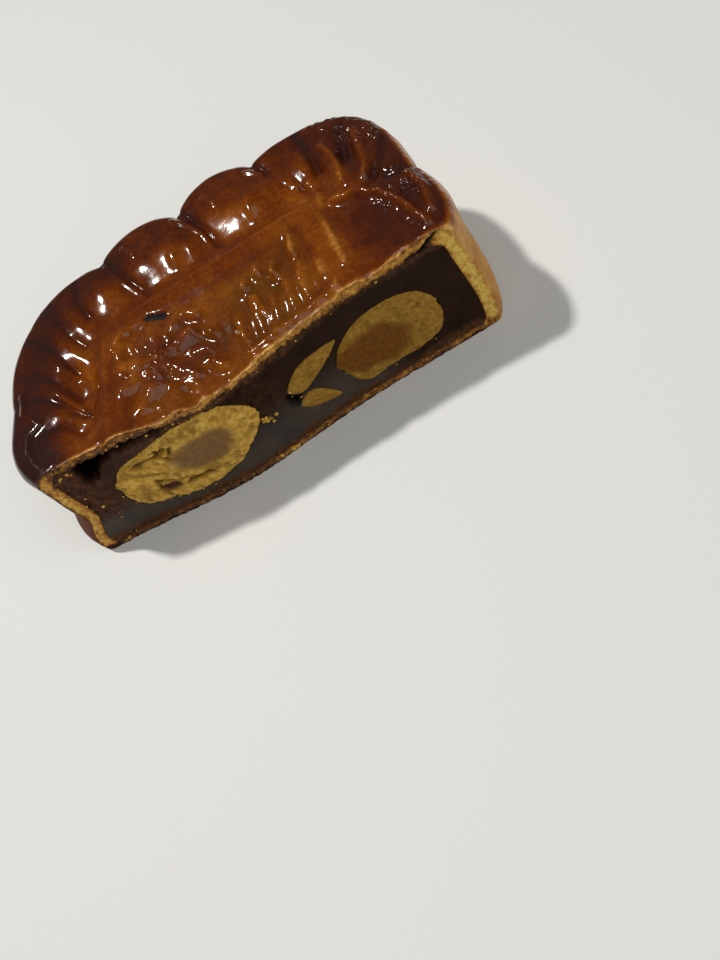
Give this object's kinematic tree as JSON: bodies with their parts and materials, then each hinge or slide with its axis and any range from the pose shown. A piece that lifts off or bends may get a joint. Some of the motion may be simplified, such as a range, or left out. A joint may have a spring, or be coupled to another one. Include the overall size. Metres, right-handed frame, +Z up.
{
  "type": "mooncake half",
  "caption": "Half of a square baked mooncake with a scalloped wall and a moulded top, cut to show dark bean paste and salted egg yolk.",
  "frame": {"origin": "on the flat base, below the middle of the half's bounding box", "axes": "+X along the cut, +Y from the cut into the cake, +Z up"},
  "size_m": [0.0834, 0.0446, 0.026],
  "materials": {
    "crust": "egg-glazed baked pastry, dark red brown where raised, amber where sunk, matt golden on the wall and the cut",
    "paste": "dense dark bean paste, smooth and slightly moist where the knife passed, crumbly elsewhere",
    "yolk": "salted egg yolk, grainy yellow with a duller, darker core"
  },
  "bodies": {
    "root": {"crust": "crust", "paste": "paste", "yolk_left": "yolk", "yolk_right": "yolk", "yolk_sliver": "yolk", "yolk_chip": "yolk"}
  },
  "joints": []
}
